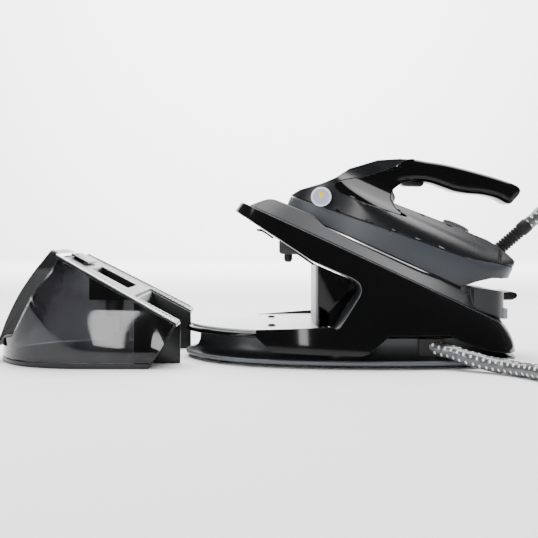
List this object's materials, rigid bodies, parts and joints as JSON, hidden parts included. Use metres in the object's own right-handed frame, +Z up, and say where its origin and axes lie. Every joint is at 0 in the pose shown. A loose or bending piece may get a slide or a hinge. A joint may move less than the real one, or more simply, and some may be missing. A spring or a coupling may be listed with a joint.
{
  "type": "steam generator iron",
  "caption": "Steam generator iron: a station with a sloping iron rest, a removable smoked water tank standing beside it, and an iron on a braided steam hose.",
  "frame": {"origin": "on the floor, under the middle of the box round the station, the iron and the tank beside them, without the hose", "axes": "+X from the tank and the nose of the station towards its rear, +Y away from the side the hose leaves, +Z up"},
  "size_m": [0.7965, 0.3681, 0.2334],
  "materials": {
    "slate_plastic": "satin",
    "gloss_black": "high gloss",
    "black_rubber": "matte",
    "white_plate": "satin",
    "silver_trim": "satin",
    "steel": "brushed",
    "brass": "satin",
    "smoked_clear": "gloss",
    "grey_plastic": "satin",
    "board": "matte",
    "clear_lens": "gloss",
    "hose_fabric": "woven"
  },
  "bodies": {
    "station": {"base_plate": "slate_plastic", "foot_1": "black_rubber", "foot_2": "black_rubber", "foot_3": "black_rubber", "foot_4": "black_rubber", "lower_housing": "slate_plastic", "deck_frame": "gloss_black", "deck_plate": "white_plate", "deck_stud_1": "black_rubber", "deck_stud_2": "black_rubber", "casing_near": "gloss_black", "casing_far": "gloss_black", "bay_liner": "gloss_black", "pillar": "gloss_black", "pillar_front": "white_plate", "coupling_block": "gloss_black", "intake_spout": "black_rubber", "tray": "slate_plastic", "rest_plate": "silver_trim", "rest_pad_1": "black_rubber", "rest_pad_2": "black_rubber", "rest_pad_3": "black_rubber", "lever_pin": "steel", "boiler": "steel", "boiler_thermostat": "steel", "pump": "grey_plastic", "steam_valve": "brass", "steam_pipe": "steel", "circuit_board": "board", "hose_outlet": "black_rubber", "mains_inlet": "black_rubber", "hose_run": "hose_fabric", "hose_coil": "hose_fabric"},
    "latch": {"tank_latch": "gloss_black"},
    "lever": {"lock_lever": "gloss_black"},
    "key": {"power_key": "grey_plastic"},
    "iron": {"soleplate": "steel", "heater_casting": "steel", "skirt": "slate_plastic", "handle": "gloss_black", "upper_body": "slate_plastic", "iron_lamp": "clear_lens", "heel_cover": "gloss_black", "badge": "white_plate", "hose_boot": "black_rubber", "hose_riser": "hose_fabric"},
    "trigger": {"steam_trigger": "gloss_black"},
    "dial": {"temperature_dial": "gloss_black"},
    "tank": {"tank_base": "smoked_clear", "tank_shell": "smoked_clear", "tank_notch_liner": "gloss_black", "tank_cover": "gloss_black", "tank_trim": "silver_trim", "tank_handle": "gloss_black", "valve_cage": "grey_plastic", "valve_spring": "steel", "float_rod": "steel"},
    "lid": {"filler_lid": "slate_plastic"},
    "plunger": {"valve_plunger": "brass"},
    "float": {"float": "grey_plastic"}
  },
  "joints": [
    {"name": "iron_lift", "type": "slide", "parent": "station", "child": "iron", "axis": [0, 0, 1], "range_m": [0, 0.15]},
    {"name": "tank_lift", "type": "slide", "parent": "station", "child": "tank", "axis": [0, 0, 1], "range_m": [0, 0.05]},
    {"name": "filler_lid_hinge", "type": "hinge", "parent": "tank", "child": "lid", "pos_m": [-0.2118, -0.005, 0.11047], "axis": [0, 1, 0], "range_deg": [0, 100]},
    {"name": "steam_trigger_press", "type": "slide", "parent": "iron", "child": "trigger", "axis": [0.0378, 0, 0.9993], "range_m": [0, 0.0025], "stiffness_N_per_m": 400},
    {"name": "temperature_dial_turn", "type": "hinge", "parent": "iron", "child": "dial", "pos_m": [0.22005, 0, 0.15013], "axis": [0.4147, 0, 0.91], "range_deg": [-135, 135]},
    {"name": "carry_lock_swing", "type": "hinge", "parent": "station", "child": "lever", "pos_m": [0.2638, 0, 0.071], "axis": [0, -1, 0], "range_deg": [0, 50]},
    {"name": "power_key_press", "type": "slide", "parent": "station", "child": "key", "axis": [-1, 0, 0], "range_m": [0, 0.002], "stiffness_N_per_m": 500},
    {"name": "tank_latch_slide", "type": "slide", "parent": "station", "child": "latch", "axis": [-1, 0, 0], "range_m": [0, 0.004], "stiffness_N_per_m": 300},
    {"name": "valve_plunger_press", "type": "slide", "parent": "tank", "child": "plunger", "axis": [0, 0, -1], "range_m": [0, 0.003], "stiffness_N_per_m": 500, "deforming": ["valve_spring"]},
    {"name": "float_rise", "type": "slide", "parent": "tank", "child": "float", "axis": [0, 0, 1], "range_m": [0, 0.045]}
  ]
}
